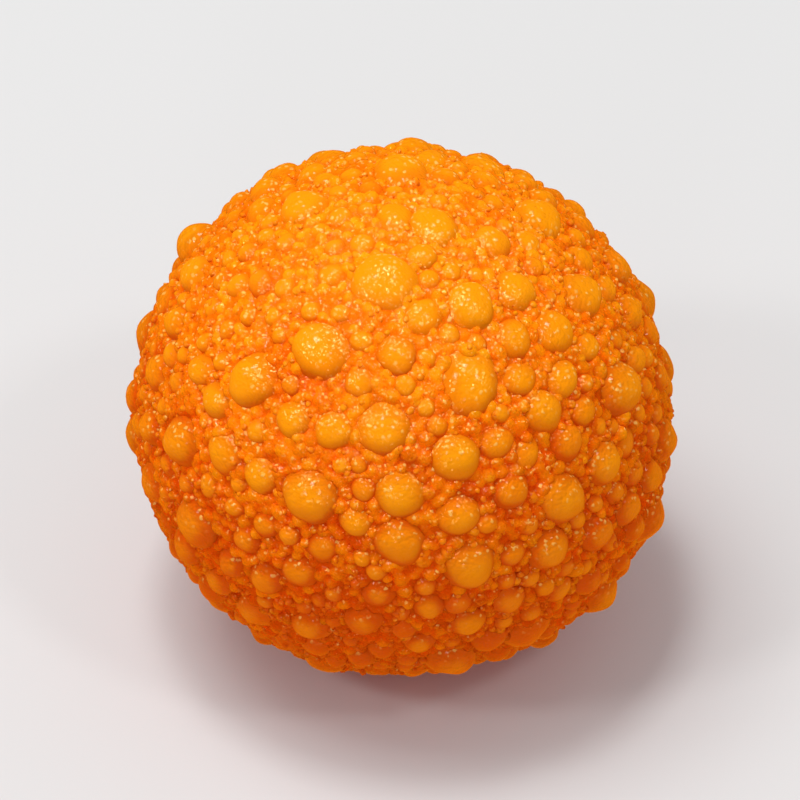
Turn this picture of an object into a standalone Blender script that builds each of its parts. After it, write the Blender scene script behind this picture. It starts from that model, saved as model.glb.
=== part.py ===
"""Motichoor ladoo: a ball of syrup-soaked gram-flour pearls, rolled and pressed by hand.

Metres, +Z up.  The ladoo rests on the XY plane on a small pressed foot, and the
origin is in the middle of that foot.  It is one solid: the pearls stand out of a
body of finer crumbs and sticky syrup.  The front of the ball faces -Y.
"""

import math
import random
from typing import NamedTuple

import bmesh
import bpy
import numpy as np
from mathutils import Vector

MM = 0.001

# Body of crumbs and syrup between the pearls
BODY_HALF_WIDTH = 23.0 * MM
BODY_HALF_DEPTH = 22.6 * MM
BODY_HALF_HEIGHT = 22.8 * MM
MIDDLE_ABOVE_FOOT = 21.7 * MM

# Unevenness left by the palm
LUMP_COUNT = 14
LUMP_SIZE = 0.55 * MM
LUMP_SPREAD_DEG = 26.0
LUMP_SEED = 5

# Pearls set by hand round the front and the crown:
# bearing from the front towards +X and height above the middle in degrees, width in mm
PLACED_PEARLS = (
    (-72, 88, 3.7), (65, 83, 4.7), (-13, 71, 5.8), (77, 70, 3.5),
    (-108, 67, 4.5), (33, 63, 4.5), (57, 60, 4.1), (107, 58, 4.9),
    (-3, 55, 3.7), (42, 52, 3.9), (-30, 52, 4.9), (177, 51, 3.7),
    (-155, 49, 3.5), (57, 48, 3.9), (78, 47, 4.5), (21, 47, 5.6),
    (37, 44, 3.1), (-47, 40, 5.2), (50, 39, 3.7), (-6, 39, 4.8),
    (-19, 37, 3.9), (102, 36, 3.8), (40, 35, 3.9), (13, 32, 4.4),
    (-115, 31, 4.7), (66, 27, 5.1), (-1, 25, 4.6), (-46, 22, 4.2),
    (-22, 22, 5.2), (-79, 21, 3.5), (12, 19, 3.9), (-11, 18, 3.0),
    (-60, 17, 4.9), (52, 16, 4.2), (38, 15, 5.0), (85, 15, 3.5),
    (-1, 14, 4.9), (14, 6, 5.2), (33, 4, 4.3), (-23, 2, 3.7),
    (-51, 1, 4.8), (57, 0, 3.5),
)

# Share of their width that the pearls set by hand stand out of the body
PLACED_PROUD = (0.26, 0.38)

# The front, where the large pearls are all set by hand, and a patch of bare crumbs
FRONT_BEARING_DEG = 0.0
FRONT_HEIGHT_DEG = 43.0
FRONT_REACH_DEG = 62.0
CRUMB_PATCH_BEARING_DEG = -62.0
CRUMB_PATCH_HEIGHT_DEG = 60.0
CRUMB_PATCH_REACH_DEG = 26.0

SCATTER_SEED = 21
MOST_TRIES = 6000
MOST_STRETCH = 0.16
SYRUP_FILLET = 0.5 * MM

# Facets
SKIN_SUBDIVISIONS = 7
SKIN_TRIANGLES = 9400
FOOT_SNAP = 0.05 * MM

SYRUP_ORANGE = (0.80, 0.20, 0.012, 1.0)
SYRUP_ROUGHNESS = 0.35
SMOOTH_ANGLE = math.radians(60)


class Kind(NamedTuple):
    """One size of pearl: how many are scattered, how wide they are and how they sit.

    proud is the share of the width that stands out of the body, and spacing the least
    distance between two pearls as a share of their mean width.
    """

    count: int
    widths: tuple
    proud: tuple
    spacing: float


LARGE = Kind(48, (4.2 * MM, 5.4 * MM), (0.20, 0.32), 1.3)
MEDIUM = Kind(200, (2.8 * MM, 3.9 * MM), (0.18, 0.34), 0.94)
SMALL = Kind(420, (1.8 * MM, 2.6 * MM), (0.20, 0.38), 0.92)


class Pearl(NamedTuple):
    """One pearl: its direction from the ball's middle, its size and how it sits.

    It is longer by the share stretch along its own grain, and as wide as width across it.
    """

    outward: np.ndarray
    width: float
    proud: float
    grain: np.ndarray
    stretch: float


def outward(bearing_deg, height_deg):
    """Unit direction at a bearing from the front towards +X and a height above the middle."""
    bearing = math.radians(bearing_deg)
    height = math.radians(height_deg)
    level = math.cos(height)
    return np.array((math.sin(bearing) * level, -math.cos(bearing) * level, math.sin(height)))


def random_outward(rng):
    """Unit direction drawn evenly over the sphere."""
    height = rng.uniform(-1.0, 1.0)
    bearing = rng.uniform(0.0, 2.0 * math.pi)
    level = math.sqrt(1.0 - height * height)
    return np.array((level * math.cos(bearing), level * math.sin(bearing), height))


def angle_between(one, other):
    """Angle in radians between two unit directions."""
    return math.acos(max(-1.0, min(1.0, float(np.dot(one, other)))))


def body_radius(directions):
    """Distance from the middle to the surface of the bare body along each direction."""
    half_sizes = np.array((BODY_HALF_WIDTH, BODY_HALF_DEPTH, BODY_HALF_HEIGHT))
    radius = 1.0 / np.linalg.norm(directions / half_sizes, axis=1)
    rng = random.Random(LUMP_SEED)
    spread = math.radians(LUMP_SPREAD_DEG)
    for _ in range(LUMP_COUNT):
        centre = random_outward(rng)
        size = rng.uniform(-LUMP_SIZE, LUMP_SIZE)
        turn = np.arccos(np.clip(directions @ centre, -1.0, 1.0))
        radius += size * np.exp(-((turn / spread) ** 2))
    return radius


def new_pearl(rng, place, width, proud):
    """A pearl at a place, with a grain and a stretch of its own."""
    return Pearl(place, width, proud, random_outward(rng), rng.uniform(0.0, MOST_STRETCH))


def clears(place, width, spacing, pearls):
    """Whether a pearl of this width fits beside all the others."""
    return all(
        angle_between(place, other.outward) * BODY_HALF_WIDTH > spacing * (width + other.width) / 2
        for other in pearls
    )


def scatter(rng, pearls, kind, keep):
    """Adds pearls of one kind at random places that keep allows and that are still free."""
    made = 0
    for _ in range(MOST_TRIES):
        place = random_outward(rng)
        width = rng.uniform(*kind.widths)
        pearl = new_pearl(rng, place, width, rng.uniform(*kind.proud))
        if made < kind.count and keep(place) and clears(place, width, kind.spacing, pearls):
            pearls.append(pearl)
            made += 1


def lay_pearls():
    """The whole set of pearls: those set by hand first, then the scattered ones."""
    rng = random.Random(SCATTER_SEED)
    pearls = []
    for bearing, height, width in PLACED_PEARLS:
        proud = rng.uniform(*PLACED_PROUD)
        pearls.append(new_pearl(rng, outward(bearing, height), width * MM, proud))
    front = outward(FRONT_BEARING_DEG, FRONT_HEIGHT_DEG)
    crumb_patch = outward(CRUMB_PATCH_BEARING_DEG, CRUMB_PATCH_HEIGHT_DEG)

    def behind_front(place):
        return angle_between(place, front) > math.radians(FRONT_REACH_DEG)

    def off_crumb_patch(place):
        return angle_between(place, crumb_patch) > math.radians(CRUMB_PATCH_REACH_DEG)

    def anywhere(_):
        return True

    scatter(rng, pearls, LARGE, behind_front)
    scatter(rng, pearls, MEDIUM, off_crumb_patch)
    scatter(rng, pearls, SMALL, anywhere)
    return pearls


def soft_max(low, high, blend):
    """The larger of two heights, with a round fillet of the size of blend where they meet."""
    near = np.clip(blend - np.abs(low - high), 0.0, None) / blend
    return np.maximum(low, high) + near * near * blend / 4


def skin_radius(directions, pearls):
    """Distance from the middle to the skin along each direction, with the pearls in relief."""
    radius = body_radius(directions)
    seats = body_radius(np.array([pearl.outward for pearl in pearls]))
    for pearl, seat in zip(pearls, seats):
        middle = pearl.outward * (seat + (pearl.proud - 0.5) * pearl.width)
        squeeze = pearl.stretch / (1.0 + pearl.stretch)
        ray = directions - squeeze * np.outer(directions @ pearl.grain, pearl.grain)
        centre = middle - squeeze * np.dot(middle, pearl.grain) * pearl.grain
        square = np.einsum("ij,ij->i", ray, ray)
        along = ray @ centre
        under_root = along**2 - square * (np.dot(centre, centre) - (pearl.width / 2) ** 2)
        hit = (under_root > 0) & (along > 0)
        top = (along[hit] + np.sqrt(under_root[hit])) / square[hit]
        radius[hit] = soft_max(radius[hit], top, SYRUP_FILLET)
    return radius


def fine_skin():
    """Closed mesh of the whole ball round its own middle, finer than the solid needs."""
    shape = bmesh.new()
    bmesh.ops.create_icosphere(shape, subdivisions=SKIN_SUBDIVISIONS, radius=1.0)
    directions = np.array([vert.co[:] for vert in shape.verts])
    directions /= np.linalg.norm(directions, axis=1)[:, None]
    points = directions * skin_radius(directions, lay_pearls())[:, None]
    points[:, 2] += MIDDLE_ABOVE_FOOT
    for vert, point in zip(shape.verts, points):
        vert.co = point
    mesh = bpy.data.meshes.new("ladoo_skin")
    shape.to_mesh(mesh)
    shape.free()
    return mesh


def thinned(mesh, triangles):
    """The same mesh collapsed to about this many triangles, most of them left on the pearls."""
    helper = bpy.data.objects.new("ladoo_skin", mesh)
    bpy.context.scene.collection.objects.link(helper)
    collapse = helper.modifiers.new("collapse", "DECIMATE")
    collapse.ratio = triangles / len(mesh.polygons)
    graph = bpy.context.evaluated_depsgraph_get()
    result = bpy.data.meshes.new_from_object(helper.evaluated_get(graph))
    bpy.data.objects.remove(helper)
    bpy.data.meshes.remove(mesh)
    return result


def press_foot(mesh):
    """Moves every point below the XY plane up to it, along its own ray from the middle."""
    middle = Vector((0.0, 0.0, MIDDLE_ABOVE_FOOT))
    for vert in mesh.vertices:
        if vert.co.z < FOOT_SNAP:
            ray = vert.co - middle
            vert.co = middle - ray * (middle.z / ray.z)
            vert.co.z = 0.0


def boondi_material():
    """Moist orange finish of fried gram-flour pearls in sugar syrup."""
    material = bpy.data.materials.new("boondi_syrup")
    material.use_nodes = True
    shader = material.node_tree.nodes["Principled BSDF"]
    shader.inputs["Base Color"].default_value = SYRUP_ORANGE
    shader.inputs["Roughness"].default_value = SYRUP_ROUGHNESS
    shader.inputs["Metallic"].default_value = 0.0
    return material


def build_ladoo():
    """The ladoo as one closed solid."""
    mesh = thinned(fine_skin(), SKIN_TRIANGLES)
    press_foot(mesh)
    mesh.name = "ladoo"
    mesh.shade_smooth()
    mesh.set_sharp_from_angle(angle=SMOOTH_ANGLE)
    mesh.materials.append(boondi_material())
    ladoo = bpy.data.objects.new("ladoo", mesh)
    bpy.context.scene.collection.objects.link(ladoo)
    return ladoo


def main():
    """Clears the scene and builds the ladoo."""
    for old in list(bpy.data.objects):
        bpy.data.objects.remove(old)
    build_ladoo()


main()
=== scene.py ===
"""Motichoor ladoo: the looks of one ball of syrup-soaked gram-flour pearls.

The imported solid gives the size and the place.  It is replaced by a slightly smaller body
of crumbs and syrup, with the real pearls bedded in it and loose crumbs over both.
Metres, +Z up, the front faces -Y.
"""

import itertools
import logging
import math
import random
from collections.abc import Callable, Iterator
from contextlib import contextmanager
from dataclasses import dataclass, field
from enum import Enum

import bpy
import numpy as np
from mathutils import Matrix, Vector
from mathutils.kdtree import KDTree


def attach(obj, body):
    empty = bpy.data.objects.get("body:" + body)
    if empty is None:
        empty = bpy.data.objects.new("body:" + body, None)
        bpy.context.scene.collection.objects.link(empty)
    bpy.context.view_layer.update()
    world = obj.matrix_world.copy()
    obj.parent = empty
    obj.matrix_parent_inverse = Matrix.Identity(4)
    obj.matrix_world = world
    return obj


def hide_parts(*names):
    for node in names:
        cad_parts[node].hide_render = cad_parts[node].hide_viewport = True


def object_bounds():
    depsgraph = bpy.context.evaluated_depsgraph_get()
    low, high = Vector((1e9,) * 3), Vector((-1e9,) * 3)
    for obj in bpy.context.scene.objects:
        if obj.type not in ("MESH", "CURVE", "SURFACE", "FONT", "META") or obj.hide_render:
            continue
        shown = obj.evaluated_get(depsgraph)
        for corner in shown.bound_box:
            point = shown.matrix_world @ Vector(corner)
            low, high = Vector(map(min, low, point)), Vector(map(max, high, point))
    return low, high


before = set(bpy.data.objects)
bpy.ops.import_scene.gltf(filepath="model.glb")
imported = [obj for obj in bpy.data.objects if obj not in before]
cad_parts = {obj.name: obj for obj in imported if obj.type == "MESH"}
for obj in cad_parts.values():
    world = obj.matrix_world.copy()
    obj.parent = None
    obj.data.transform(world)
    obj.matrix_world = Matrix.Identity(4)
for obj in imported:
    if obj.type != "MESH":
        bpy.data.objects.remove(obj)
CAD_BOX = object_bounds()

MM = 0.001
BODY = "root"
NODE = "ladoo"
BAKE_MAP = "OFBake"
LOG = logging.getLogger("ladoo")

Colour = tuple[float, float, float, float]
Span = tuple[float, float]
Socket = bpy.types.NodeSocket
Node = bpy.types.Node
Piece = bpy.types.Object
NUMBER = "NodeSocketFloat"
COLOUR = "NodeSocketColor"
ARROW = "NodeSocketVector"
Inputs = tuple[tuple[str, str, object], ...]
Outputs = tuple[tuple[str, str], ...]

NEXT_CELLS = tuple(itertools.product((-1, 0, 1), repeat=3))
SLANT = (0.31, 0.27, 0.91)
HALFWAY = 0.5
TINY = 1e-9


def srgb(red: int, green: int, blue: int) -> Colour:
    """Linear colour of three screen values from 0 to 255.

    Args:
        red: Red screen value.
        green: Green screen value.
        blue: Blue screen value.

    Returns:
        Red, green, blue and alpha as Blender's sockets take them.
    """

    def linear(value: int) -> float:
        """Linear share of one screen value."""
        share = value / 255
        return share / 12.92 if share <= 0.04045 else ((share + 0.055) / 1.055) ** 2.4

    return (linear(red), linear(green), linear(blue), 1.0)


def deselect_all() -> None:
    """Leaves object mode with nothing selected, because an operator acts on all that is."""
    if bpy.context.object and bpy.context.object.mode != "OBJECT":
        bpy.ops.object.mode_set(mode="OBJECT")
    bpy.ops.object.select_all(action="DESELECT")


@contextmanager
def editing() -> Iterator[None]:
    """Edit mode with every part of the shape selected, as long as the block lasts."""
    bpy.ops.object.mode_set(mode="EDIT")
    bpy.ops.mesh.select_all(action="SELECT")
    yield
    bpy.ops.object.mode_set(mode="OBJECT")


def pick(piece: Piece) -> None:
    """Selects this piece and nothing else."""
    deselect_all()
    piece.select_set(True)
    bpy.context.view_layer.objects.active = piece


def outward(bearing_deg: float, height_deg: float) -> np.ndarray:
    """Unit direction at a bearing from the front and a height above the middle.

    Args:
        bearing_deg: Degrees from the front towards +X.
        height_deg: Degrees above the level of the middle.

    Returns:
        The direction as three numbers.
    """
    bearing = math.radians(bearing_deg)
    height = math.radians(height_deg)
    level = math.cos(height)
    return np.array((math.sin(bearing) * level, -math.cos(bearing) * level, math.sin(height)))


def random_outward(rng: random.Random) -> np.ndarray:
    """Unit direction drawn evenly over the sphere.

    Args:
        rng: Source of the draws.

    Returns:
        The direction as three numbers.
    """
    height = rng.uniform(-1.0, 1.0)
    bearing = rng.uniform(0.0, 2.0 * math.pi)
    level = math.sqrt(1.0 - height * height)
    return np.array((level * math.cos(bearing), level * math.sin(bearing), height))


def angle_between(one: np.ndarray, other: np.ndarray) -> float:
    """Angle in radians between two unit directions."""
    return math.acos(max(-1.0, min(1.0, float(np.dot(one, other)))))


def soft_max(low: np.ndarray, high: np.ndarray, blend: np.ndarray) -> np.ndarray:
    """The larger of two heights, with a round fillet of the size of blend where they meet."""
    near = np.clip(blend - np.abs(low - high), 0.0, None) / blend
    return np.maximum(low, high) + near * near * blend / 4


def unit_rows(rows: np.ndarray) -> np.ndarray:
    """The same directions, each one metre long."""
    return rows / np.linalg.norm(rows, axis=-1, keepdims=True)


def even_directions(count: int, jitter: float, rng: np.random.Generator) -> np.ndarray:
    """Directions spread evenly over the sphere and then shaken.

    Args:
        count: How many directions.
        jitter: How far each is moved, as a share of the distance between neighbours.
        rng: Source of the draws.

    Returns:
        Unit directions, one in each row.
    """
    steps = np.arange(count) + 0.5
    height = 1.0 - 2.0 * steps / count
    bearing = steps * math.pi * (3.0 - math.sqrt(5.0))
    level = np.sqrt(1.0 - height * height)
    spots = np.stack((level * np.cos(bearing), level * np.sin(bearing), height), axis=1)
    spots += rng.normal(size=spots.shape) * jitter * math.sqrt(4.0 * math.pi / count)
    return unit_rows(spots)


def random_turns(rng: np.random.Generator, count: int) -> np.ndarray:
    """Random rotations, one for each copy of a shape.

    Args:
        rng: Source of the draws.
        count: How many rotations.

    Returns:
        An array of count 3 by 3 matrices.
    """
    w, x, y, z = unit_rows(rng.normal(size=(count, 4))).T
    rows = (
        (1 - 2 * (y * y + z * z), 2 * (x * y - z * w), 2 * (x * z + y * w)),
        (2 * (x * y + z * w), 1 - 2 * (x * x + z * z), 2 * (y * z - x * w)),
        (2 * (x * z - y * w), 2 * (y * z + x * w), 1 - 2 * (x * x + y * y)),
    )
    return np.array(rows).transpose(2, 0, 1)


@dataclass(frozen=True)
class Kind:
    """One size of pearl, how many are scattered and how they sit.

    proud is the share of the width that stands out of the body, and spacing the least
    distance between two pearls as a share of their mean width.
    """

    count: int
    widths: Span
    proud: Span
    spacing: float


class PearlSize(Enum):
    """The sizes of pearl that the ladle drops into the oil."""

    LARGE = Kind(48, (4.2 * MM, 5.4 * MM), (0.20, 0.32), 1.3)
    MEDIUM = Kind(200, (2.8 * MM, 3.9 * MM), (0.18, 0.34), 0.94)
    SMALL = Kind(420, (1.8 * MM, 2.6 * MM), (0.20, 0.38), 0.92)
    FINE = Kind(1900, (1.20 * MM, 1.60 * MM), (0.24, 0.42), 0.80)
    FINEST = Kind(5600, (0.70 * MM, 1.15 * MM), (0.32, 0.52), 0.76)


PEARL_SIZES = (PearlSize.LARGE, PearlSize.MEDIUM, PearlSize.SMALL)
GRAIN_SIZES = (PearlSize.FINE, PearlSize.FINEST)


@dataclass
class Beads:
    """Many round things, one in each row: pearls or crumbs.

    Each is longer by its stretch along its own grain.  Its seat is the distance from the
    ball's middle to the surface it is pressed into, and proud the share of its width that
    stands out of that.
    """

    outwards: np.ndarray
    widths: np.ndarray
    prouds: np.ndarray
    grains: np.ndarray
    stretches: np.ndarray
    seats: np.ndarray
    tones: np.ndarray

    def __len__(self) -> int:
        """Number of beads."""
        return len(self.widths)

    def middles(self) -> np.ndarray:
        """Their centres, from the middle of the ball."""
        return self.outwards * (self.seats + (self.prouds - 0.5) * self.widths)[:, None]

    def shown_widths(self) -> np.ndarray:
        """How wide each is where it goes into its seat."""
        return self.widths * np.sqrt(np.clip(1.0 - (1.0 - 2.0 * self.prouds) ** 2, 0.0, 1.0))

    def chosen(self, rows: np.ndarray) -> "Beads":
        """Only those of these rows."""
        return Beads(*(getattr(self, name)[rows] for name in self.__dataclass_fields__))


def joined(*sets: Beads) -> Beads:
    """Several sets as one."""
    names = Beads.__dataclass_fields__
    return Beads(*(np.concatenate([getattr(one, name) for one in sets]) for name in names))


@dataclass(frozen=True)
class BallForm:
    """The hand-rolled ball of crumbs and syrup, bare of its pearls."""

    half_width: float = 23.0 * MM
    half_depth: float = 22.6 * MM
    half_height: float = 22.8 * MM
    middle_above_foot: float = 21.7 * MM
    lump_count: int = 14
    lump_size: float = 0.55 * MM
    lump_spread: float = math.radians(26.0)
    lump_seed: int = 5

    def radius(self, directions: np.ndarray) -> np.ndarray:
        """Distance from the middle to the bare surface.

        Args:
            directions: Unit directions, one in each row.

        Returns:
            One distance for each row.
        """
        half_sizes = np.array((self.half_width, self.half_depth, self.half_height))
        radius = 1.0 / np.linalg.norm(directions / half_sizes, axis=1)
        rng = random.Random(self.lump_seed)
        for _ in range(self.lump_count):
            centre = random_outward(rng)
            size = rng.uniform(-self.lump_size, self.lump_size)
            turn = np.arccos(np.clip(directions @ centre, -1.0, 1.0))
            radius += size * np.exp(-((turn / self.lump_spread) ** 2))
        return radius

    def stand(self, points: np.ndarray) -> np.ndarray:
        """Puts points round the ball's middle into the frame, standing on the pressed foot.

        Args:
            points: Points from the middle of the ball, one in each row.

        Returns:
            The points in the frame, none of them below the floor.
        """
        low = points[:, 2] < -self.middle_above_foot
        pressed = points.copy()
        pressed[low] *= (-self.middle_above_foot / points[low, 2])[:, None]
        pressed[:, 2] += self.middle_above_foot
        return pressed


@dataclass
class HeightField:
    """Distances from the ball's middle to its skin along many directions."""

    form: BallForm
    directions: np.ndarray
    bare_tone: float = 0.35
    search_margin: float = 1.05

    def __post_init__(self) -> None:
        """Starts from the bare form and makes the directions searchable."""
        self.radius = self.form.radius(self.directions)
        self.tones = np.full(len(self.directions), self.bare_tone)
        self.tree = KDTree(len(self.directions))
        for index, direction in enumerate(self.directions):
            self.tree.insert(direction, index)
        self.tree.balance()

    def bed(self, beads: Beads, share: float, fillet: float | np.ndarray) -> None:
        """Raises the skin over the beads, with a fillet of syrup round each.

        Args:
            beads: What is bedded.
            share: Width of the raised shape as a share of the bead's own.
            fillet: Size of the fillet, the same all over or one for each direction.
        """
        fillets = np.broadcast_to(fillet, self.radius.shape)
        halves = beads.widths * share / 2
        rows = zip(beads.middles(), halves, beads.grains, beads.stretches, beads.tones)
        for middle, half, grain, stretch, tone in rows:
            away = np.linalg.norm(middle)
            reach = self.search_margin * half * (1.0 + stretch) / away
            found = self.tree.find_range(middle / away, reach)
            near = np.array([index for _, index, _ in found], dtype=int)
            squeeze = stretch / (1.0 + stretch)
            rays = self.directions[near]
            rays = rays - squeeze * np.outer(rays @ grain, grain)
            centre = middle - squeeze * np.dot(middle, grain) * grain
            square = np.einsum("ij,ij->i", rays, rays)
            along = rays @ centre
            under_root = along**2 - square * (np.dot(centre, centre) - half**2)
            hit = under_root > 0
            top = (along[hit] + np.sqrt(under_root[hit])) / square[hit]
            near = near[hit]
            self.tones[near[top > self.radius[near]]] = tone
            self.radius[near] = soft_max(self.radius[near], top, fillets[near])


@dataclass
class PearlLayout:
    """Where every pearl lies: those of the front and the top listed one by one, the rest at random."""

    form: BallForm
    seed: int = 21
    most_tries: int = 6000
    most_stretch: float = 0.16
    placed_proud: Span = (0.26, 0.38)
    front: Span = (0.0, 43.0)
    front_reach_deg: float = 62.0
    crumb_patch: Span = (-62.0, 60.0)
    crumb_patch_reach_deg: float = 26.0
    fine_seed: int = 34
    fine_candidates: int = 30000
    fine_stretch: float = 0.35
    rim_share: float = 0.94
    rim_cover: float = 0.30
    least_large: float = 4.05 * MM
    syrup_fillet: float = 0.5 * MM
    placed: tuple[tuple[float, float, float], ...] = (
        (-72, 88, 3.7), (65, 83, 4.7), (-13, 71, 5.8), (77, 70, 3.5),
        (-108, 67, 4.5), (33, 63, 4.5), (57, 60, 4.1), (107, 58, 4.9),
        (-3, 55, 3.7), (42, 52, 3.9), (-30, 52, 4.9), (177, 51, 3.7),
        (-155, 49, 3.5), (57, 48, 3.9), (78, 47, 4.5), (21, 47, 5.6),
        (37, 44, 3.1), (-47, 40, 5.2), (50, 39, 3.7), (-6, 39, 4.8),
        (-19, 37, 3.9), (102, 36, 3.8), (40, 35, 3.9), (13, 32, 4.4),
        (-115, 31, 4.7), (66, 27, 5.1), (-1, 25, 4.6), (-46, 22, 4.2),
        (-22, 22, 5.2), (-79, 21, 3.5), (12, 19, 3.9), (-11, 18, 3.0),
        (-60, 17, 4.9), (52, 16, 4.2), (38, 15, 5.0), (85, 15, 3.5),
        (-1, 14, 4.9), (14, 6, 5.2), (33, 4, 4.3), (-23, 2, 3.7),
        (-51, 1, 4.8), (57, 0, 3.5),
    )
    sets: dict[PearlSize, Beads] = field(default_factory=dict)

    def lay(self) -> None:
        """Lays every size, the larger ones in the order in which the solid was laid."""
        rng = random.Random(self.seed)
        front = outward(*self.front)
        crumb_patch = outward(*self.crumb_patch)

        def behind_front(place: np.ndarray) -> bool:
            """Whether a place lies outside the front."""
            return angle_between(place, front) > math.radians(self.front_reach_deg)

        def off_crumb_patch(place: np.ndarray) -> bool:
            """Whether a place lies outside the patch of bare crumbs."""
            return angle_between(place, crumb_patch) > math.radians(self.crumb_patch_reach_deg)

        rows = [
            self._row(rng, outward(bearing, height), width * MM, self.placed_proud)
            for bearing, height, width in self.placed
        ]
        self.sets[PearlSize.LARGE] = self._beads(rows)
        large = self._scattered(rng, PearlSize.LARGE, behind_front)
        self.sets[PearlSize.LARGE] = joined(self.sets[PearlSize.LARGE], large)
        self.sets[PearlSize.MEDIUM] = self._scattered(rng, PearlSize.MEDIUM, off_crumb_patch)
        self.sets[PearlSize.SMALL] = self._scattered(rng, PearlSize.SMALL, lambda _: True)
        pearls = joined(self.sets[PearlSize.LARGE], self.sets[PearlSize.MEDIUM])
        wide = pearls.widths > self.least_large
        self.sets[PearlSize.LARGE] = pearls.chosen(wide)
        self.sets[PearlSize.MEDIUM] = pearls.chosen(~wide)
        fine_rng = np.random.default_rng(self.fine_seed)
        for size in GRAIN_SIZES:
            self.sets[size] = self._filled_in(fine_rng, size, crumb_patch)

    def all_beads(self) -> Beads:
        """Every pearl that is laid so far."""
        return joined(*self.sets.values())

    def _row(
        self, rng: random.Random, place: np.ndarray, width: float, proud: Span
    ) -> tuple[np.ndarray, float, float, np.ndarray, float]:
        """A pearl at a place, with a depth, a grain and a stretch of its own."""
        depth = rng.uniform(*proud)
        return (place, width, depth, random_outward(rng), rng.uniform(0.0, self.most_stretch))

    def _beads(self, rows: list[tuple]) -> Beads:
        """The rows as one set, seated on the bare form."""
        columns = [np.array(column) for column in zip(*rows)]
        tones = np.random.default_rng(len(rows)).uniform(size=len(rows))
        return Beads(*columns, self.form.radius(columns[0]), tones)

    def _scattered(
        self, rng: random.Random, size: PearlSize, keep: Callable[[np.ndarray], bool]
    ) -> Beads:
        """Lays pearls of one size at random.

        Args:
            rng: Source of the draws.
            size: Size to lay.
            keep: Says whether a place may hold such a pearl.

        Returns:
            The pearls laid, none of them across another.
        """
        kind = size.value
        there = self.all_beads()
        places = list(there.outwards)
        widths = list(there.widths)
        rows = []
        for _ in range(self.most_tries):
            place = random_outward(rng)
            width = rng.uniform(*kind.widths)
            row = self._row(rng, place, width, kind.proud)
            if len(rows) == kind.count or not keep(place):
                continue
            gap = self.form.half_width * np.arccos(np.clip(np.array(places) @ place, -1.0, 1.0))
            if np.all(gap > kind.spacing * (width + np.array(widths)) / 2):
                rows.append(row)
                places.append(place)
                widths.append(width)
        return self._beads(rows)

    def _filled_in(
        self, rng: np.random.Generator, size: PearlSize, crumb_patch: np.ndarray
    ) -> Beads:
        """Fills what is still bare with beads of one fine size.

        Args:
            rng: Source of the draws.
            size: Size to lay.
            crumb_patch: Middle of the patch where only the finest are filled in.

        Returns:
            The beads laid, each beside its neighbours, seated on the skin of the larger ones.
        """
        kind = size.value
        there = self.all_beads()
        places = unit_rows(rng.normal(size=(self.fine_candidates, 3)))
        widths = rng.uniform(*kind.widths, size=len(places))
        rims = self.rim_share * there.shown_widths()
        reach = (rims + self.rim_cover * widths[:, None]) / 2
        gap = self.form.half_width * np.arccos(np.clip(places @ there.outwards.T, -1.0, 1.0))
        free = np.all(gap > reach, axis=1)
        if size is PearlSize.FINE:
            patch = math.cos(math.radians(self.crumb_patch_reach_deg))
            free &= places @ crumb_patch < patch
        beside: dict[tuple[int, int, int], list[int]] = {}
        laid: list[int] = []
        cells = np.floor(places * self.form.half_width / kind.widths[1]).astype(int)
        for index in np.flatnonzero(free):
            x, y, z = cells[index]
            around = [(x + i, y + j, z + k) for i, j, k in NEXT_CELLS]
            others = [other for cell in around for other in beside.get(cell, ())]
            gap = self.form.half_width * np.linalg.norm(places[others] - places[index], axis=1)
            if np.all(gap > kind.spacing * (widths[others] + widths[index]) / 2):
                laid.append(index)
                beside.setdefault((x, y, z), []).append(index)
            if len(laid) == kind.count:
                break
        count = len(laid)
        LOG.info("%s: %d laid", size.name.lower(), count)
        return Beads(
            places[laid],
            widths[laid],
            rng.uniform(*kind.proud, size=count),
            unit_rows(rng.normal(size=(count, 3))),
            rng.uniform(0.0, self.fine_stretch, size=count),
            self._seats(places[laid]),
            rng.uniform(size=count),
        )

    def _seats(self, directions: np.ndarray) -> np.ndarray:
        """Distance from the middle to the skin over the larger pearls along these directions."""
        skin = HeightField(self.form, directions)
        for size in PEARL_SIZES:
            skin.bed(self.sets[size], 1.0, self.syrup_fillet)
        return skin.radius


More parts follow.
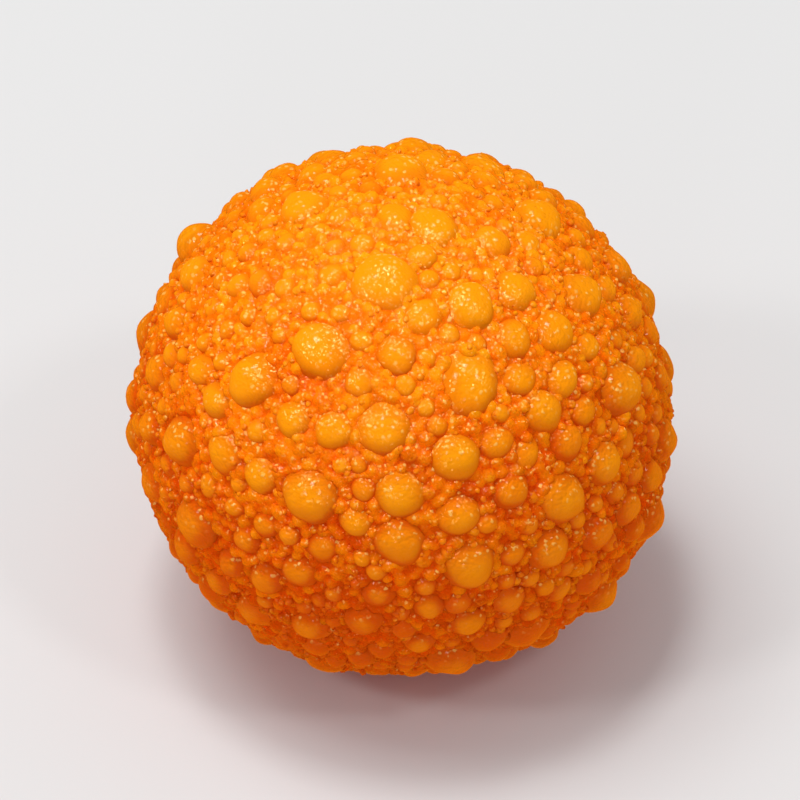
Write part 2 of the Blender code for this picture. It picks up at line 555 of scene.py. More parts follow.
@dataclass
class NodeSheet:
    """A node tree with short ways to add and join nodes."""

    tree: bpy.types.NodeTree

    def add(self, kind: str, **settings: object) -> Node:
        """Adds a node.

        Args:
            kind: Blender's name of the node, without its ShaderNode prefix.
            settings: Properties of the node.

        Returns:
            The new node.
        """
        node = self.tree.nodes.new("ShaderNode" + kind)
        for name, value in settings.items():
            setattr(node, name, value)
        return node

    def feed(self, socket: Socket, value: object) -> None:
        """Joins another socket to this one, or sets its plain value."""
        if isinstance(value, Socket):
            self.tree.links.new(value, socket)
        else:
            socket.default_value = value

    def fill(self, node: Node, values: dict[str, object]) -> Node:
        """Feeds inputs of a node by their names."""
        for name, value in values.items():
            self.feed(node.inputs[name], value)
        return node

    def worked_out(self, kind: str, operation: str, values: tuple[object, ...]) -> Node:
        """Adds a node that works something out of its inputs, in their order."""
        node = self.add(kind, operation=operation)
        for socket, value in zip(node.inputs, values):
            self.feed(socket, value)
        return node

    def math(self, operation: str, *values: object) -> Socket:
        """Result of a Math node with these inputs."""
        return self.worked_out("Math", operation, values).outputs[0]

    def vector(self, operation: str, *values: object) -> Socket:
        """Result of a Vector Math node with these inputs."""
        return self.worked_out("VectorMath", operation, values).outputs["Vector"]

    def upward(self, value: Socket) -> Socket:
        """Upward part of a vector."""
        return self.fill(self.add("SeparateXYZ"), {"Vector": value}).outputs["Z"]

    def sway(self, level: object, value: object, weight: float, rest: float) -> Socket:
        """The level, raised by weight times what the value has above rest."""
        return self.math("MULTIPLY_ADD", value, weight, self.math("SUBTRACT", level, weight * rest))

    def ramp(self, value: object, low: float, high: float) -> Socket:
        """Smooth step of a value from 0 at low to 1 at high."""
        node = self.add("MapRange", interpolation_type="SMOOTHSTEP")
        self.fill(node, {"Value": value, "From Min": low, "From Max": high})
        return node.outputs["Result"]

    def mix(self, share: object, one: object, other: object) -> Socket:
        """Colour between one and other, by share."""
        node = self.add("Mix", data_type="RGBA")
        colours = [socket for socket in node.inputs if socket.type == "RGBA"]
        self.feed(node.inputs[0], share)
        self.feed(colours[0], one)
        self.feed(colours[1], other)
        return next(socket for socket in node.outputs if socket.type == "RGBA")

    def noise(self, coords: object, size: float, detail: float) -> Socket:
        """Noise with features of a size in metres."""
        node = self.fill(self.add("TexNoise"), {"Vector": coords, "Scale": 1.0 / size, "Detail": detail})
        return node.outputs["Fac"]

    def object_coords(self) -> Socket:
        """Coordinates of the piece itself, in metres."""
        return self.add("TexCoord").outputs["Object"]

    def attribute(self, name: str) -> Socket:
        """Value of a named attribute of the mesh."""
        return self.add("Attribute", attribute_name=name).outputs["Fac"]


@dataclass(frozen=True)
class ShadeGroup:
    """A shader node group that several finishes share."""

    name: str
    inputs: Inputs
    outputs: Outputs

    def start(self) -> tuple[NodeSheet, Node, Node]:
        """Makes the empty group with its named sockets.

        Returns:
            The sheet to draw on, the group's input node and its output node.
        """
        tree = bpy.data.node_groups.new(self.name, "ShaderNodeTree")
        for name, kind, value in self.inputs:
            socket = tree.interface.new_socket(name, in_out="INPUT", socket_type=kind)
            socket.default_value = value
        for name, kind in self.outputs:
            tree.interface.new_socket(name, in_out="OUTPUT", socket_type=kind)
        start = tree.nodes.new("NodeGroupInput")
        end = tree.nodes.new("NodeGroupOutput")
        return NodeSheet(tree), start, end


@dataclass(frozen=True)
class SyrupColour(ShadeGroup):
    """Colour of soaked batter, with painted shade in the creases and painted light on what stands out.
    """

    name: str = "syrup_colour"
    inputs: Inputs = (
        ("Crease", COLOUR, srgb(225, 78, 3)),
        ("Flesh", COLOUR, srgb(243, 128, 8)),
        ("Crown", COLOUR, srgb(252, 160, 16)),
        ("Relief", NUMBER, 0.0),
        ("Tone", NUMBER, HALFWAY),
        ("Sugar", NUMBER, 0.0),
        ("Middle", NUMBER, 0.0),
    )
    outputs: Outputs = (("Color", COLOUR),)
    # Colour of the pale sugar specks, which also serve as painted glints.
    sugar_glint_colour: Colour = srgb(255, 202, 104)
    patch_size: float = 9.0 * MM
    speck_size: float = 1.1 * MM
    relief_shading_weight: float = 0.48
    tone_weight: float = 0.45
    patch_weight: float = 0.50
    speck_weight: float = 0.30
    # Painted light: from what height and how fast the colour turns yellower towards the top, as if the
    # top were lit more.
    top_light_by: float = 42.0 * MM
    top_light_above: float = 13.5 * MM
    shaded_crease_to_flesh: Span = (0.0, 0.5)
    flesh_to_lit_crown: Span = (0.45, 1.0)

    def build(self) -> bpy.types.NodeTree:
        """Draws the group.

        Returns:
            The finished node tree.
        """
        sheet, start, end = self.start()
        coords = sheet.object_coords()
        patches = sheet.noise(coords, self.patch_size, 1.0)
        specks = sheet.noise(coords, self.speck_size, 2.0)
        height = sheet.math("SUBTRACT", sheet.upward(coords), start.outputs["Middle"])
        level = HALFWAY
        for value, weight, rest in (
            (start.outputs["Relief"], self.relief_shading_weight, 0.0),
            (start.outputs["Tone"], self.tone_weight, HALFWAY),
            (patches, self.patch_weight, HALFWAY),
            (specks, self.speck_weight, HALFWAY),
            # Painted light: yellower with height above the middle.
            (height, 1.0 / self.top_light_by, self.top_light_above),
        ):
            level = sheet.sway(level, value, weight, rest)
        # Painted light and shade: a low level gives the red-orange painted shade of a crease, a high one
        # the yellower painted light of a lit top.
        out_of_shade = sheet.ramp(level, *self.shaded_crease_to_flesh)
        lit_crown_share = sheet.ramp(level, *self.flesh_to_lit_crown)
        colour = sheet.mix(out_of_shade, start.outputs["Crease"], start.outputs["Flesh"])
        colour = sheet.mix(lit_crown_share, colour, start.outputs["Crown"])
        # Pale sugar specks, which also serve as painted glints.
        colour = sheet.mix(start.outputs["Sugar"], colour, self.sugar_glint_colour)
        sheet.feed(end.inputs["Color"], colour)
        return sheet.tree


@dataclass(frozen=True)
class WetGrain(ShadeGroup):
    """Fine grain under a film of syrup: its height, how rough it is and where pale sugar specks lie that
    also serve as painted glints.
    """

    name: str = "wet_grain"
    inputs: Inputs = (
        ("Dry", NUMBER, 0.40),
        ("Wet", NUMBER, 0.18),
    )
    outputs: Outputs = (
        ("Height", NUMBER),
        ("Roughness", NUMBER),
        ("Sugar", NUMBER),
    )
    # Pale sugar specks that also serve as painted glints: their size, raggedness, rarity, the upward
    # faces they keep to, their cover and their bump.
    sugar_glint_radius: Span = (0.40, 0.12)
    sugar_glint_raggedness: float = 0.60
    sugar_glint_rarity: Span = (0.36, 0.58)
    sugar_glint_faces_up: Span = (0.10, 0.75)
    sugar_glint_cover: float = 0.78
    grain_size: float = 0.56 * MM
    pore_size: float = 0.24 * MM
    grain_share: float = 0.70
    pore_share: float = 0.60
    sugar_glint_height: float = 0.50
    film_size: float = 1.8 * MM
    film_edge: Span = (0.35, 0.65)

    def build(self) -> bpy.types.NodeTree:
        """Draws the group.

        Returns:
            The finished node tree.
        """
        sheet, start, end = self.start()
        coords = sheet.object_coords()
        cells = sheet.add("TexVoronoi", feature="F1")
        sheet.fill(cells, {"Vector": coords, "Scale": 1.0 / self.grain_size})
        grain = sheet.math("POWER", cells.outputs["Distance"], 2.0)
        speckle = sheet.noise(coords, self.pore_size, 0.0)
        pores = sheet.math("MULTIPLY", speckle, self.pore_share)
        height = sheet.math("MULTIPLY_ADD", grain, -self.grain_share, pores)
        film = sheet.ramp(sheet.noise(coords, self.film_size, 1.0), *self.film_edge)
        span = sheet.math("SUBTRACT", start.outputs["Wet"], start.outputs["Dry"])
        roughness = sheet.math("MULTIPLY_ADD", film, span, start.outputs["Dry"])
        # Painted glints: pale sugar specks in some grain cells, kept to surfaces that face up.
        ragged = sheet.sway(cells.outputs["Distance"], speckle, self.sugar_glint_raggedness, HALFWAY)
        sugar_glint = sheet.ramp(ragged, *self.sugar_glint_radius)
        chosen = sheet.ramp(cells.outputs["Color"], *self.sugar_glint_rarity)
        facing = sheet.upward(sheet.add("NewGeometry").outputs["Normal"])
        faces_up_share = sheet.ramp(facing, *self.sugar_glint_faces_up)
        sugar_glint = sheet.math("MULTIPLY", sheet.math("MULTIPLY", sugar_glint, chosen), faces_up_share)
        sugar_glint = sheet.math("MULTIPLY", sugar_glint, self.sugar_glint_cover)
        height = sheet.math("MULTIPLY_ADD", sugar_glint, self.sugar_glint_height, height)
        sheet.fill(end, {"Height": height, "Roughness": roughness, "Sugar": sugar_glint})
        return sheet.tree


@dataclass(frozen=True)
class GlowNormal(ShadeGroup):
    """Grain on normals eased towards the ball's own, because light spreads inside batter."""

    name: str = "glow_normal"
    inputs: Inputs = (
        ("Height", NUMBER, 0.0),
        ("Depth", NUMBER, 0.0),
        ("Ease", NUMBER, 0.0),
        ("Middle", ARROW, (0.0, 0.0, 0.0)),
    )
    outputs: Outputs = (("Normal", ARROW),)

    def build(self) -> bpy.types.NodeTree:
        """Draws the group.

        Returns:
            The finished node tree.
        """
        sheet, start, end = self.start()
        own = sheet.add("NewGeometry").outputs["Normal"]
        away = sheet.vector("SUBTRACT", sheet.object_coords(), start.outputs["Middle"])
        away = sheet.vector("NORMALIZE", away)
        turn = sheet.vector("SCALE", sheet.vector("SUBTRACT", away, own))
        sheet.feed(turn.node.inputs["Scale"], start.outputs["Ease"])
        eased = sheet.vector("NORMALIZE", sheet.vector("ADD", own, turn))
        relief = {"Distance": start.outputs["Depth"], "Height": start.outputs["Height"], "Normal": eased}
        bump = sheet.fill(sheet.add("Bump"), relief)
        sheet.feed(end.inputs["Normal"], bump.outputs["Normal"])
        return sheet.tree


@dataclass(frozen=True)
class Groups:
    """The shader groups that every finish of the ladoo shares."""

    middle: float
    colour: bpy.types.NodeTree
    grain: bpy.types.NodeTree
    glow: bpy.types.NodeTree


@dataclass(frozen=True)
class BoondiFinish:
    """Moist finish of pearls, crumbs and the syrup between them."""

    name: str
    # crease is the red-orange painted shade of the creases, crown the yellower painted light on what
    # stands out.
    crease: Colour
    flesh: Colour
    crown: Colour
    grain_depth: float
    ease: float
    see_through: float = 0.0
    depth_of_light: float = 0.0
    light_reach: tuple[float, float, float] = (1.0, 0.60, 0.30)
    dry: float = 0.15
    wet: float = 0.10
    refraction: float = 1.45
    shine: float = 0.90
    glint_tint: Colour = srgb(255, 222, 150)
    syrup_coat: float = 0.30
    coat_roughness: float = 0.08

    def material(self, groups: "Groups") -> bpy.types.Material:
        """Makes the material.

        Args:
            groups: The shared groups.

        Returns:
            The material, ready for a slot.
        """
        material = bpy.data.materials.new(self.name)
        material.use_nodes = True
        sheet = NodeSheet(material.node_tree)
        shader = material.node_tree.nodes["Principled BSDF"]
        skin = sheet.fill(sheet.add("Group", node_tree=groups.grain), {"Dry": self.dry, "Wet": self.wet})
        batter = {
            "Crease": self.crease,
            "Flesh": self.flesh,
            "Crown": self.crown,
            "Relief": sheet.attribute("relief"),
            "Tone": sheet.attribute("tone"),
            "Sugar": skin.outputs["Sugar"],
            "Middle": groups.middle,
        }
        tint = sheet.fill(sheet.add("Group", node_tree=groups.colour), batter)
        surface = {
            "Height": skin.outputs["Height"],
            "Depth": self.grain_depth,
            "Ease": self.ease,
            "Middle": (0.0, 0.0, groups.middle),
        }
        glow = sheet.fill(sheet.add("Group", node_tree=groups.glow), surface)
        shader.subsurface_method = "BURLEY"
        look = {
            "Base Color": tint.outputs["Color"],
            "Roughness": skin.outputs["Roughness"],
            "Normal": glow.outputs["Normal"],
            "Subsurface Weight": self.see_through,
            "Subsurface Radius": self.light_reach,
            "Subsurface Scale": self.depth_of_light,
            "IOR": self.refraction,
            "Specular IOR Level": self.shine,
            "Specular Tint": self.glint_tint,
            "Coat Weight": self.syrup_coat,
            "Coat Roughness": self.coat_roughness,
        }
        sheet.fill(shader, look)
        return material


class Finish(Enum):
    """The finishes of the ladoo's pieces.

    Light goes into the body.  In the rest, the eased normals stand for it, more so in
    the larger pearls.
    """

    BODY = BoondiFinish(
        "syrup_and_crumb",
        crease=srgb(213, 66, 3),
        flesh=srgb(236, 115, 6),
        crown=srgb(248, 151, 12),
        grain_depth=0.22 * MM,
        ease=0.05,
        see_through=1.0,
        depth_of_light=1.5 * MM,
    )
    LARGE = BoondiFinish(
        "large_pearl",
        crease=srgb(223, 82, 4),
        flesh=srgb(243, 131, 7),
        crown=srgb(251, 153, 9),
        grain_depth=0.08 * MM,
        ease=0.56,
    )
    MEDIUM = BoondiFinish(
        "medium_pearl",
        crease=srgb(220, 76, 3),
        flesh=srgb(241, 126, 6),
        crown=srgb(250, 149, 8),
        grain_depth=0.09 * MM,
        ease=0.5,
    )
    SMALL = BoondiFinish(
        "small_pearl",
        crease=srgb(222, 80, 4),
        flesh=srgb(239, 123, 7),
        crown=srgb(249, 148, 9),
        grain_depth=0.09 * MM,
        ease=0.4,
    )
    FINE = BoondiFinish(
        "fine_grain",
        crease=srgb(222, 80, 4),
        flesh=srgb(239, 123, 7),
        crown=srgb(249, 149, 10),
        grain_depth=0.09 * MM,
        ease=0.38,
    )
    CRUMB = BoondiFinish(
        "loose_crumb",
        crease=srgb(222, 80, 4),
        flesh=srgb(239, 123, 7),
        crown=srgb(249, 149, 10),
        grain_depth=0.08 * MM,
        ease=0.38,
    )


@dataclass
class Blank:
    """A shape's points and its faces, as arrays."""

    points: np.ndarray
    faces: np.ndarray

    @classmethod
    def read(cls, mesh: bpy.types.Mesh) -> "Blank":
        """Reads a mesh whose faces all have the same number of corners."""
        points = np.empty(len(mesh.vertices) * 3)
        mesh.vertices.foreach_get("co", points)
        corners = np.empty(len(mesh.loops), np.int32)
        mesh.loops.foreach_get("vertex_index", corners)
        return cls(points.reshape(-1, 3), corners.reshape(len(mesh.polygons), -1))

    @classmethod
    def taken_from(cls, piece: Piece) -> "Blank":
        """Reads a helper piece and removes it."""
        blank = cls.read(piece.data)
        bpy.data.objects.remove(piece)
        return blank

    def piece(self, name: str) -> Piece:
        """Makes a smooth-shaded object of it.

        Args:
            name: Name of the piece.

        Returns:
            The object, linked to the scene.
        """
        mesh = bpy.data.meshes.new(name)
        mesh.from_pydata(self.points.tolist(), [], self.faces.tolist())
        mesh.shade_smooth()
        piece = bpy.data.objects.new(name, mesh)
        bpy.context.scene.collection.objects.link(piece)
        return piece


def on_side(directions: np.ndarray, side: int) -> np.ndarray:
    """Where directions lie on one side of the cube round them.

    Args:
        directions: Unit directions, in the last axis.
        side: Number of the side: its axis, and 3 more if it lies ahead on that axis.

    Returns:
        Two numbers for each direction, from 0 to 1 on the side itself.
    """
    across = [axis for axis in range(3) if axis != side % 3]
    slope = directions[..., across] / np.abs(directions[..., side % 3, None])
    return (np.arctan(slope) / (math.pi / 4) + 1.0) / 2


def side_of(directions: np.ndarray) -> np.ndarray:
    """Number of the cube's side that each direction points to."""
    axis = np.abs(directions).argmax(axis=-1)
    ahead = np.take_along_axis(directions, axis[..., None], -1)[..., 0] > 0
    return axis + 3 * ahead


@dataclass
class BallGrid:
    """A round master shape with even square faces, whose points are found by direction."""

    cuts: tuple[int, ...]

    def build(self) -> "BallGrid":
        """Adds a cube, cuts it into an even grid and rounds it.

        Returns:
            Itself, with its blank two metres wide.
        """
        deselect_all()
        bpy.ops.mesh.primitive_cube_add(size=2.0)
        ball = bpy.context.object
        with editing():
            for cuts in self.cuts:
                bpy.ops.mesh.subdivide(number_cuts=cuts)
        flat = Blank.read(ball.data).points
        ball.data.vertices.foreach_set("co", np.tan(flat * math.pi / 4).ravel())
        with editing():
            bpy.ops.transform.tosphere(value=1.0)
        self.blank = Blank.taken_from(ball)
        self.blank.points = unit_rows(self.blank.points)
        self.steps = math.prod(cuts + 1 for cuts in self.cuts)
        self._number(flat)
        return self

    def between(self, values: np.ndarray, directions: np.ndarray) -> np.ndarray:
        """Reads values, one for each point of the ball, at directions between the points.

        Args:
            values: The values at the points.
            directions: Unit directions, one in each row.

        Returns:
            One number for each row.
        """
        sides = side_of(directions)
        result = np.empty(len(directions))
        for side in range(6):
            rows = np.flatnonzero(sides == side)
            place = on_side(directions[rows], side) * self.steps
            low = np.clip(np.floor(place).astype(int), 0, self.steps - 1)
            u, v = (place - low).T
            i, j = low.T
            near = self.numbers[side]
            front = values[near[i, j]] * (1 - u) + values[near[i + 1, j]] * u
            back = values[near[i, j + 1]] * (1 - u) + values[near[i + 1, j + 1]] * u
            result[rows] = front * (1 - v) + back * v
        return result

    def _number(self, flat: np.ndarray) -> None:
        """Notes which point lies at each step of each side."""
        steps = np.round((flat + 1.0) / 2 * self.steps).astype(int)
        self.numbers = np.zeros((6, self.steps + 1, self.steps + 1), dtype=int)
        for side in range(6):
            rows = np.flatnonzero(steps[:, side % 3] == (self.steps if side > 2 else 0))
            across = [axis for axis in range(3) if axis != side % 3]
            i, j = steps[rows][:, across].T
            self.numbers[side, i, j] = rows


@dataclass
class FriedBlank:
    """One fried bead, one metre wide, with the shallow dents that the hot oil leaves."""

    cuts: tuple[int, ...]
    dents: tuple[tuple[float, float], ...]

    def build(self) -> Blank:
        """Models the bead.

        Returns:
            Its points and faces.
        """
        ball = BallGrid(self.cuts).build().blank
        ball.points *= 0.5
        bead = ball.piece("fried_bead")
        pick(bead)
        for size, depth in self.dents:
            texture = bpy.data.textures.new("dents", "CLOUDS")
            texture.noise_scale = size
            texture.noise_depth = 0
            dent = bead.modifiers.new("dents", "DISPLACE")
            dent.texture = texture
            dent.texture_coords = "LOCAL"
            dent.strength = depth
            bpy.ops.object.modifier_apply(modifier=dent.name)
        return Blank.taken_from(bead)


@dataclass
class CrumbBlank:
    """One broken crumb, one metre wide."""

    rounds: int = 1
    roughness: float = 0.14
    seed: int = 4

    def build(self) -> Blank:
        """Models the crumb.

        Returns:
            Its points and faces.
        """
        deselect_all()
        bpy.ops.mesh.primitive_ico_sphere_add(subdivisions=self.rounds, radius=0.5)
        with editing():
            bpy.ops.transform.vertex_random(offset=self.roughness, seed=self.seed)
        return Blank.taken_from(bpy.context.object)


def write_attribute(piece: Piece, name: str, values: np.ndarray) -> None:
    """Stores one number at each point of a piece."""
    layer = piece.data.attributes.new(name, "FLOAT", "POINT")
    layer.data.foreach_set("value", values.astype(np.float32))


def write_map(piece: Piece, corners: np.ndarray) -> None:
    """Stores the piece's flat layout, one place for each corner of each face."""
    layer = piece.data.uv_layers.new(name=BAKE_MAP)
    layer.uv.foreach_set("vector", corners.reshape(-1).astype(np.float32))


@dataclass
class CrumbBody:
    """The ball's body: crumbs bound by syrup, with a fillet of syrup round each pearl."""

    form: BallForm
    layout: PearlLayout
    cuts: tuple[int, ...] = (11, 15)
    triangles: int = 196000
    pearl_share: float = 0.74
    bead_share: float = 0.98
    bead_fillet: float = 0.18 * MM
    syrup_climb: Span = (0.25 * MM, 1.5 * MM)
    patch_waves: float = 14.0
    patch_wave_count: int = 24
    patch_contrast: float = 0.125
    patch_seed: int = 8
    coarse_cuts: tuple[int, ...] = (7, 7)
    blur_steps: int = 43
    relief_depth: float = 0.8 * MM
    side_share: float = 0.97

    def build(self) -> Piece:
        """Models the body.

        Returns:
            The finished piece, without its finish.
        """
        self.ball = BallGrid(self.cuts).build()
        self.skin = HeightField(self.form, self.ball.blank.points)
        climb = self.syrup_climb[0] + np.ptp(self.syrup_climb) * self._patchy(self.skin.directions)
        for size in PEARL_SIZES:
            self.skin.bed(self.layout.sets[size], self.pearl_share, climb)
        for size in GRAIN_SIZES:
            self.skin.bed(self.layout.sets[size], self.bead_share, self.bead_fillet)
        self.coarse = BallGrid(self.coarse_cuts).build()
        self.mean_skin = self._mean_skin()
        points = self.skin.directions * self.skin.radius[:, None]
        blank = self._thinned(Blank(points, self.ball.blank.faces))
        radius = np.linalg.norm(blank.points, axis=1)
        directions = blank.points / radius[:, None]
        piece = Blank(self.form.stand(blank.points), blank.faces).piece("crumb_body")
        # Relief for the colour: painted shade in the low creases, painted light on what stands out.
        write_attribute(piece, "relief", self.relief(directions, radius, self.relief_depth))
        write_attribute(piece, "tone", self.ball.between(self.skin.tones, directions))
        write_map(piece, self._flat_layout(directions, blank.faces))
        return piece

    def _patchy(self, directions: np.ndarray) -> np.ndarray:
        """Smooth random shares from 0 to 1 over the ball, in patches of the size of a pearl."""
        rng = np.random.default_rng(self.patch_seed)
        waves = rng.normal(size=(3, self.patch_wave_count)) * self.patch_waves
        steps = directions @ waves + rng.uniform(0.0, 2.0 * math.pi, size=self.patch_wave_count)
        return np.clip(HALFWAY + np.sin(steps).sum(axis=1) * self.patch_contrast, 0.0, 1.0)

    def relief(self, directions: np.ndarray, radius: np.ndarray, depth: float) -> np.ndarray:
        """How far points lie from the ball's mean skin: 1 at depth above it, -1 at depth below."""
        around = self.coarse.between(self.mean_skin, directions)
        return np.clip((radius - around) / depth, -1.0, 1.0)

    def _mean_skin(self) -> np.ndarray:
        """The mean height of the skin around each point of the coarse ball."""
        faces = self.coarse.blank.faces
        pairs = np.concatenate([faces[:, (i, (i + 1) % 4)] for i in range(4)])
        mean = self.ball.between(self.skin.radius, self.coarse.blank.points)
        count = np.bincount(pairs[:, 0], minlength=len(mean))
        for _ in range(self.blur_steps):
            total = np.bincount(pairs[:, 0], mean[pairs[:, 1]], len(mean))
            mean = (mean + total / count) / 2
        return mean

    def _thinned(self, blank: Blank) -> Blank:
        """The shape collapsed to fewer faces, most of them left where it is most curved."""
        skin = blank.piece("crumb_skin")
        pick(skin)
        collapse = skin.modifiers.new("collapse", "DECIMATE")
        collapse.ratio = self.triangles / (2 * len(blank.faces))
        collapse.use_collapse_triangulate = True
        bpy.ops.object.modifier_apply(modifier=collapse.name)
        return Blank.taken_from(skin)

    def _flat_layout(self, directions: np.ndarray, faces: np.ndarray) -> np.ndarray:
        """The six sides of the cube that the ball was rounded from, three by two."""
        corners = directions[faces]
        sides = side_of(corners.mean(axis=1))
        flat = np.empty((*faces.shape, 2))
        for side in range(6):
            place = (on_side(corners[sides == side], side) - 0.5) * self.side_share + 0.5
            cell = np.array((side % 3, side // 3))
            flat[sides == side] = (place + cell) / np.array((3.0, 2.0))
        return flat


@dataclass
class BeadPiece:
    """All the beads of one size, as one piece of separate closed beads."""

    name: str
    body: CrumbBody
    beads: Beads
    blank: Blank
    tones: Span
    # How the colour follows each bead's height and side: painted light on its top, painted shade at its
    # rim and on its downward-facing underside.
    sunk: float = 0.30
    rise: float = 1.2
    shaded_rim_below: float = 0.5
    underside_shade: float = 0.70
    underside_shade_below: float = 0.3
    squash: float = 0.0
    seed: int = 3
    outer_above: float = -0.15
    disc_edge: float = math.radians(125.0)
    disc_radii: Span = (0.42, 0.10)
    disc_places: Span = (0.45, 0.88)

    def build(self) -> Piece:
        """Copies the one bead to every place.

        Returns:
            The finished piece, without its finish.
        """
        rng = np.random.default_rng(self.seed)
        count = len(self.beads)
        turns = random_turns(rng, count)
        squash = rng.uniform(1.0 - self.squash, 1.0 + self.squash, size=(count, 1, 3))
        tones = self.tones[0] + self.beads.tones * (self.tones[1] - self.tones[0])
        local = (self.blank.points[None] * squash) @ turns.transpose(0, 2, 1)
        local *= self.beads.widths[:, None, None]
        along = np.einsum("nmk,nk->nm", local, self.beads.grains) * self.beads.stretches[:, None]
        local += along[:, :, None] * self.beads.grains[:, None, :]
        points = (local + self.beads.middles()[:, None]).reshape(-1, 3)
        size = len(self.blank.points)
        faces = self.blank.faces[None] + (np.arange(count) * size)[:, None, None]
        radius = np.linalg.norm(points, axis=1)
        faces = faces.reshape(-1, self.blank.faces.shape[1])
        piece = Blank(self.body.form.stand(points), faces).piece(self.name)
        seats = np.repeat(self.beads.seats, size)
        tops = np.repeat(self.beads.seats + self.beads.prouds * self.beads.widths, size)
        # Relief for the colour: painted light on the tops of the beads, painted shade at their rims and
        # on their undersides.
        shown = ((radius - seats) / (tops - seats) - self.sunk) / (1.0 - self.sunk)
        under = np.clip(self.underside_shade_below - unit_rows(local.reshape(-1, 3))[:, 2], 0.0, 1.0)
        relief = self.rise * np.clip(shown, 0.0, 1.0) - self.shaded_rim_below - self.underside_shade * under
        write_attribute(piece, "relief", np.clip(relief, -1.0, 1.0))
        write_attribute(piece, "tone", np.repeat(tones, size))
        write_map(piece, self._flat_layout(local))
        return piece

    def _flat_layout(self, local: np.ndarray) -> np.ndarray:
        """A cell for each bead, with a large disc for its outer side and a small one for the rest."""
        count = len(local)
        rows = math.ceil(math.sqrt(count))
        up = self.beads.outwards[:, None, None]
        side = unit_rows(np.cross(self.beads.outwards, SLANT))
        other = np.cross(self.beads.outwards, side)
        corners = unit_rows(local[:, self.blank.faces])
        height = (corners * up).sum(axis=3)
        outer = height.mean(axis=2, keepdims=True) > self.outer_above
        height = np.where(outer, height, -height)
        turn = np.arccos(np.clip(height, -1.0, 1.0)) / self.disc_edge
        x = (corners * side[:, None, None]).sum(axis=3)
        y = (corners * other[:, None, None]).sum(axis=3)
        spread = turn / np.maximum(np.hypot(x, y), TINY) * np.where(outer, *self.disc_radii)
        place = np.stack((x, y), axis=3) * spread[..., None]
        place += np.where(outer[..., None], *self.disc_places)
        cell = np.stack((np.arange(count) % rows, np.arange(count) // rows), axis=1)
        return (place + cell[:, None, None]) / rows


@dataclass
class LooseCrumbs:
    """Crumbs that stick to the skin all over, fewer of them on the tops of the pearls."""

    body: CrumbBody
    count: int = 2600
    widths: Span = (0.40 * MM, 0.80 * MM)
    proud: Span = (0.25, 0.60)
    most_stretch: float = 0.3
    jitter: float = 0.6
    crease_below: float = 0.25 * MM
    kept_on_pearls: float = 0.25
    seed: int = 11

    def beads(self) -> Beads:
        """Lays the crumbs.

        Returns:
            Where they lie, their sizes and their seats.
        """
        rng = np.random.default_rng(self.seed)
        places = even_directions(self.count, self.jitter, rng)
        seats = self.body.ball.between(self.body.skin.radius, places)
        raised = seats - self.body.coarse.between(self.body.mean_skin, places)
        kept = (raised < self.crease_below) | (rng.uniform(size=len(places)) < self.kept_on_pearls)
        count = int(kept.sum())
        return Beads(
            places[kept],
            rng.uniform(*self.widths, size=count),
            rng.uniform(*self.proud, size=count),
            unit_rows(rng.normal(size=(count, 3))),
            rng.uniform(0.0, self.most_stretch, size=count),
            seats[kept],
            rng.uniform(size=count),
        )


@dataclass(frozen=True)
class Softbox:
    """One square area light that faces the ladoo, as an offset from it.

    Only a mirrored one shows in the syrup.
    """

    name: str
    offset: tuple[float, float, float]
    size: float
    power: float
    mirrored: bool = True

    def build(self, target: Vector) -> None:
        """Hangs the light and turns it to the ladoo."""
        light = bpy.data.lights.new(self.name, "AREA")
        light.size = self.size
        light.energy = self.power
        holder = bpy.data.objects.new(self.name, light)
        offset = Vector(self.offset)
        holder.location = target + offset
        holder.rotation_euler = (-offset).to_track_quat("-Z", "Y").to_euler()
        holder.visible_camera = False
        holder.visible_glossy = self.mirrored
        bpy.context.scene.collection.objects.link(holder)


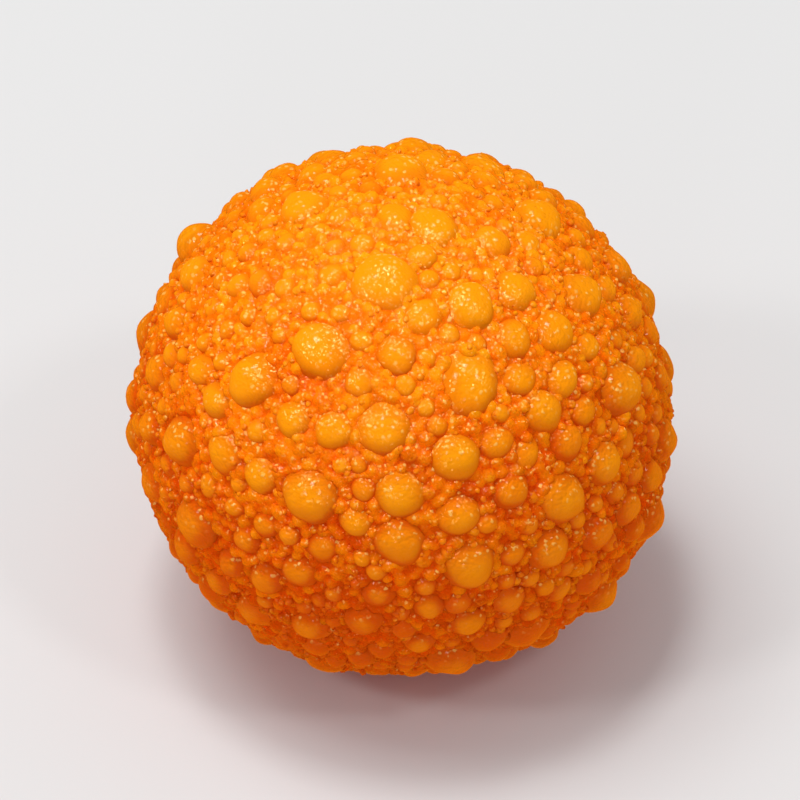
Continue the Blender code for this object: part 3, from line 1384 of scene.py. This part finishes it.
@dataclass(frozen=True)
class Studio:
    """A pale floor, soft light from above and the camera."""

    target: Vector
    elevation: float = math.radians(43.0)
    distance: float = 0.85
    lens: float = 440.0
    nearest: float = 0.01
    floor_size: float = 6.0
    floor_colour: Colour = srgb(214, 214, 214)
    floor_cloud: float = 0.3
    floor_shade: float = 0.97
    floor_roughness: float = 0.8
    sky_colour: Colour = srgb(255, 255, 255)
    mirrored_colour: Colour = srgb(255, 140, 20)
    sky_strength: float = 0.49
    mirrored_strength: float = 0.90
    softboxes: tuple[Softbox, ...] = (
        Softbox("key", (-0.30, 0.10, 1.05), 0.60, 5.3, mirrored=False),
        Softbox("top", (-0.10, 0.05, 1.10), 0.20, 2.5),
        Softbox("left", (-0.62, -0.38, 0.74), 0.16, 1.5),
        Softbox("right", (0.45, -0.35, 0.80), 0.13, 0.9),
        Softbox("low", (-0.10, -1.00, 0.30), 0.12, 0.4),
    )

    def build(self) -> None:
        """Builds the floor, the lights and the camera."""
        self._floor()
        self._sky()
        for softbox in self.softboxes:
            softbox.build(self.target)
        self._camera()

    def _floor(self) -> None:
        """A plain pale table top."""
        deselect_all()
        bpy.ops.mesh.primitive_plane_add(size=self.floor_size)
        floor = bpy.context.object
        floor.name = "floor"
        material = bpy.data.materials.new("pale_table")
        material.use_nodes = True
        sheet = NodeSheet(material.node_tree)
        shader = material.node_tree.nodes["Principled BSDF"]
        cloud = sheet.noise(sheet.object_coords(), self.floor_cloud, 2.0)
        dimmer = tuple(value * self.floor_shade for value in self.floor_colour[:3]) + (1.0,)
        colour = sheet.mix(cloud, self.floor_colour, dimmer)
        look = {"Base Color": colour, "Roughness": self.floor_roughness, "Specular IOR Level": 0.0}
        sheet.fill(shader, look)
        floor.data.materials.append(material)
        floor.visible_glossy = False

    def _sky(self) -> None:
        """Even white light from all round, except that the syrup mirrors a warm colour instead."""
        world = bpy.data.worlds.new("studio")
        world.use_nodes = True
        sheet = NodeSheet(world.node_tree)
        ray = sheet.add("LightPath").outputs["Is Glossy Ray"]
        background = world.node_tree.nodes["Background"]
        colour = sheet.mix(ray, self.sky_colour, self.mirrored_colour)
        extra = self.mirrored_strength - self.sky_strength
        strength = sheet.math("MULTIPLY_ADD", ray, extra, self.sky_strength)
        sheet.fill(background, {"Color": colour, "Strength": strength})
        bpy.context.scene.world = world

    def _camera(self) -> None:
        """A long lens that looks down on the front."""
        away = Vector((0.0, -math.cos(self.elevation), math.sin(self.elevation)))
        camera = bpy.data.cameras.new("camera")
        camera.lens = self.lens
        camera.clip_start = self.nearest
        holder = bpy.data.objects.new("camera", camera)
        holder.location = self.target + away * self.distance
        holder.rotation_euler = (-away).to_track_quat("-Z", "Y").to_euler()
        bpy.context.scene.collection.objects.link(holder)
        bpy.context.scene.camera = holder


@dataclass
class Ladoo:
    """The whole ladoo: its body, its pearls, the finer grains in the gaps and its crumbs."""

    form: BallForm = field(default_factory=BallForm)
    dents: tuple[Span, ...] = ((0.50, 0.08), (0.25, 0.02))
    pearl_squash: float = 0.05
    crumb_squash: float = 0.25
    loose_count: int = 700
    loose_seed: int = 6

    def build(self) -> None:
        """Builds and dresses every piece."""
        layout = PearlLayout(self.form)
        layout.lay()
        middle = self.form.middle_above_foot
        groups = (group.build() for group in (SyrupColour(), WetGrain(), GlowNormal()))
        self.groups = Groups(middle, *groups)
        body = CrumbBody(self.form, layout)
        piece = body.build()
        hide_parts(NODE)
        self._dress(piece, Finish.BODY)
        for size, cuts, dents, tones, finish in (
            (PearlSize.LARGE, 9, self.dents, (0.50, 0.95), Finish.LARGE),
            (PearlSize.MEDIUM, 6, self.dents[:1], (0.20, 0.90), Finish.MEDIUM),
            (PearlSize.SMALL, 4, self.dents[:1], (0.10, 0.90), Finish.SMALL),
        ):
            name = size.name.lower() + "_boondi"
            beads = layout.sets[size]
            blank = FriedBlank((cuts,), dents).build()
            piece = BeadPiece(name, body, beads, blank, tones, squash=self.pearl_squash).build()
            self._dress(piece, finish)
        rng = np.random.default_rng(self.loose_seed)
        fine = joined(*(layout.sets[size] for size in GRAIN_SIZES))
        fine = fine.chosen(rng.permutation(len(fine))[: self.loose_count])
        grain = FriedBlank((2,), self.dents[:1]).build()
        piece = BeadPiece("fine_boondi", body, fine, grain, (0.0, 1.0)).build()
        self._dress(piece, Finish.FINE)
        crumbs = LooseCrumbs(body).beads()
        crumb = CrumbBlank().build()
        piece = BeadPiece("crumbs", body, crumbs, crumb, (0.2, 0.9), squash=self.crumb_squash).build()
        self._dress(piece, Finish.CRUMB)

    def _dress(self, piece: Piece, finish: Finish) -> None:
        """Gives a piece its finish and joins it to the frame.

        Real pearls let light through to the body, so here only the body casts a shadow.
        """
        piece.data.materials.append(finish.value.material(self.groups))
        piece.visible_shadow = finish is Finish.BODY
        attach(piece, BODY)
        LOG.info("%s: %d faces", piece.name, len(piece.data.polygons))


def main() -> None:
    """Builds the ladoo and the studio round it."""
    logging.basicConfig(level=logging.INFO, format="%(name)s %(message)s")
    bpy.context.scene.view_settings.view_transform = "Standard"
    Ladoo().build()
    low, high = CAD_BOX
    Studio((Vector(low) + Vector(high)) / 2).build()


if __name__ == "__main__":
    main()
